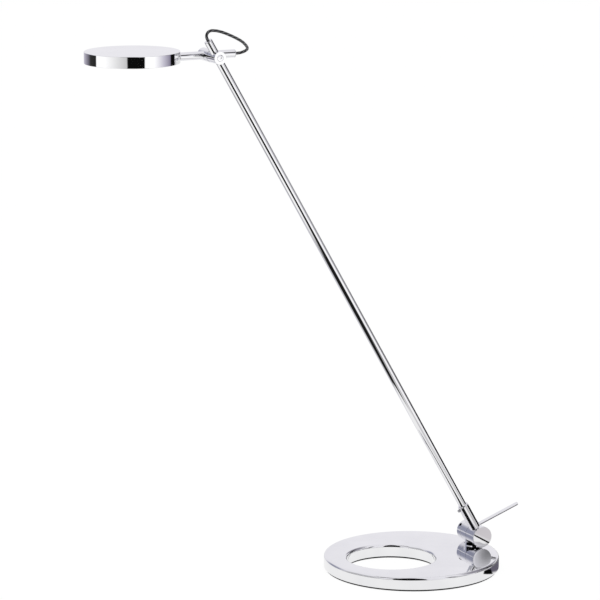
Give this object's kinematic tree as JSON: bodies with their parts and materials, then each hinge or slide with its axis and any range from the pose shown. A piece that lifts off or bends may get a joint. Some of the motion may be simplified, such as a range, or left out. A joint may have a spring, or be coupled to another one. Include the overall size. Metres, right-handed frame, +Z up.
{
  "type": "desk lamp",
  "caption": "Chrome balanced-arm desk lamp: ring base, swivelling barrel with spring tension bar, long leaning tube arm and a flat round LED head that tilts.",
  "frame": {"origin": "on the table, directly under the axis of the swivel post", "axes": "+Z up, the arm leans towards -X, the barrel's axis is along Y with its polished cap at -Y"},
  "size_m": [0.5373, 0.1999, 0.6313],
  "materials": {
    "chrome_steel": "polished chrome plate on steel",
    "mirror_chrome": "flat mirror-polished chrome",
    "tube_chrome": "polished chromed tube",
    "head_metal": "bright-plated machined aluminium",
    "plain_steel": "zinc-plated steel",
    "dark_screw": "black oxide steel",
    "spring_steel": "oiled spring steel",
    "bronze": "sintered bronze",
    "nylon": "black nylon",
    "pad_rubber": "matt black rubber",
    "cable_black": "black braided cable",
    "board_white": "white-lacquered metal-core board",
    "led_yellow": "phosphor gel",
    "connector_white": "moulded plastic",
    "opal_acrylic": "opal diffusing acrylic"
  },
  "bodies": {
    "base": {"base_ring": "chrome_steel", "foot_pad": "pad_rubber", "swivel_bush": "nylon", "cable_gland": "pad_rubber"},
    "swivel": {"barrel_housing": "chrome_steel", "post_washer": "plain_steel", "post_nut": "plain_steel", "shaft_bush": "bronze", "torsion_spring": "spring_steel"},
    "arm": {"arm_hub": "chrome_steel", "front_cap": "mirror_chrome", "main_shaft": "plain_steel", "collar_screw": "plain_steel", "hub_washer": "nylon", "arm_socket": "chrome_steel", "clamp_screw": "dark_screw", "arm_tube": "tube_chrome", "arm_tube_bush": "mirror_chrome", "arm_wire": "cable_black", "pivot_arm_hub": "chrome_steel", "pivot_front_cap": "mirror_chrome", "pivot_front_screw": "plain_steel"},
    "tension": {"tension_collar": "chrome_steel", "tension_bar": "tube_chrome"},
    "head": {"pivot_washer": "nylon", "pivot_head_hub": "chrome_steel", "drag_screw": "dark_screw", "pivot_rear_cap": "mirror_chrome", "pivot_rear_screw": "plain_steel", "head_tube": "tube_chrome", "tail_bush": "mirror_chrome", "head_wire": "cable_black", "head_ferrule": "chrome_steel", "head_shell": "head_metal", "led_board": "board_white", "board_screws": "plain_steel", "led_chips": "led_yellow", "board_connector": "connector_white", "diffuser": "opal_acrylic", "diffuser_ring": "head_metal", "cable_loop": "cable_black"}
  },
  "joints": [
    {"name": "base_swivel", "type": "hinge", "parent": "base", "child": "swivel", "pos_m": [0, 0, 0.016], "axis": [0, 0, 1], "range_deg": [-165, 165]},
    {"name": "arm_tilt", "type": "hinge", "parent": "swivel", "child": "arm", "pos_m": [0, 0, 0.029], "axis": [0, 1, 0], "range_deg": [-35, 25]},
    {"name": "tension_turn", "type": "hinge", "parent": "swivel", "child": "tension", "pos_m": [0, 0, 0.029], "axis": [0, 1, 0], "range_deg": [-100, 26]},
    {"name": "head_tilt", "type": "hinge", "parent": "arm", "child": "head", "pos_m": [-0.33, 0, 0.60058], "axis": [0, 1, 0], "range_deg": [-75, 45], "deforming": ["cable_loop"]}
  ]
}
